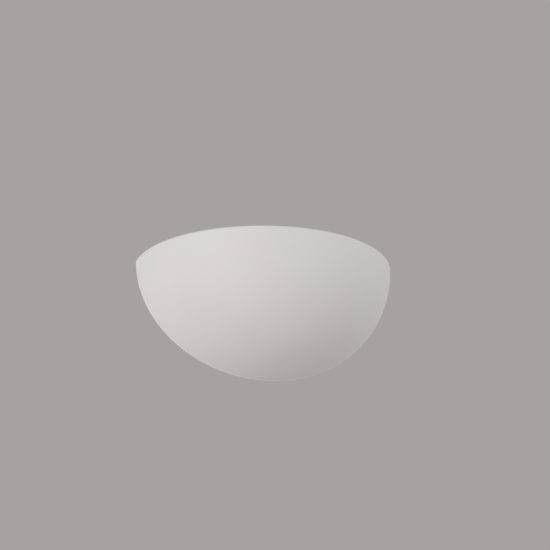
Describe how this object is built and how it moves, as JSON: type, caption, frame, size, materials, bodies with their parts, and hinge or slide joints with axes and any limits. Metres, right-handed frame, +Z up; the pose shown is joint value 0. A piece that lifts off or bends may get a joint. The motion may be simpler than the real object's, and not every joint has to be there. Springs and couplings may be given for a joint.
{
  "type": "uplighter wall sconce",
  "caption": "Quarter-bowl plaster uplighter wall light, open at the top, over a screw-in lamp on a pressed steel wall plate.",
  "frame": {"origin": "on the wall, midway between the two fixing slots of the wall plate", "axes": "+X to the right along the wall, +Y into the wall, +Z up"},
  "size_m": [0.31, 0.1375, 0.139],
  "materials": {
    "plaster": "matte",
    "white_steel": "satin",
    "zinc": "satin",
    "brass": "satin",
    "nickel": "satin",
    "porcelain": null,
    "clear_nylon": null,
    "rubber": null,
    "bronze": "satin",
    "glass": null,
    "dark_glass": null,
    "phosphor": null,
    "steel_wire": null,
    "brown_insulation": null,
    "blue_insulation": null,
    "green_insulation": null
  },
  "bodies": {
    "base": {"wall_plate": "white_steel", "bowl_studs": "zinc", "holder_arm": "zinc", "arm_rivets": "zinc", "lampholder_body": "porcelain", "lampholder_shell": "nickel", "centre_contact": "bronze", "contact_rivets": "brass", "holder_terminals": "brass", "holder_terminal_screws": "nickel", "holder_screws": "zinc", "terminal_block": "clear_nylon", "terminal_inserts": "brass", "terminal_screws": "zinc", "block_screw": "zinc", "cable_grommet": "rubber", "earth_screw": "brass", "earth_washer": "zinc", "earth_tag": "brass", "live_wire": "brown_insulation", "neutral_wire": "blue_insulation", "earth_wire": "green_insulation"},
    "bowl": {"plaster_bowl": "plaster", "stud_washers": "zinc", "knurled_nuts": "brass"},
    "lamp_foot": {"lamp_insulator": "dark_glass", "lamp_tip_contact": "nickel"},
    "lamp": {"lamp_cap": "nickel", "lamp_glass": "glass", "lamp_stem": "glass", "lamp_filaments": "phosphor", "filament_supports": "steel_wire"}
  },
  "joints": [
    {"name": "bowl_lift_off", "type": "slide", "parent": "base", "child": "bowl", "axis": [0, -1, 0], "range_m": [0, 0.15]},
    {"name": "lamp_advance", "type": "slide", "parent": "base", "child": "lamp_foot", "axis": [1, 0, 0], "range_m": [0, 0.0146]},
    {"name": "lamp_unscrew", "type": "hinge", "parent": "lamp_foot", "child": "lamp", "pos_m": [0.02, -0.062, 0.003], "axis": [1, 0, 0], "range_deg": [0, 1440]}
  ],
  "couplings": [
    {"joint": "lamp_advance", "follows": "lamp_unscrew", "m_per_rad": 0.00057751}
  ]
}
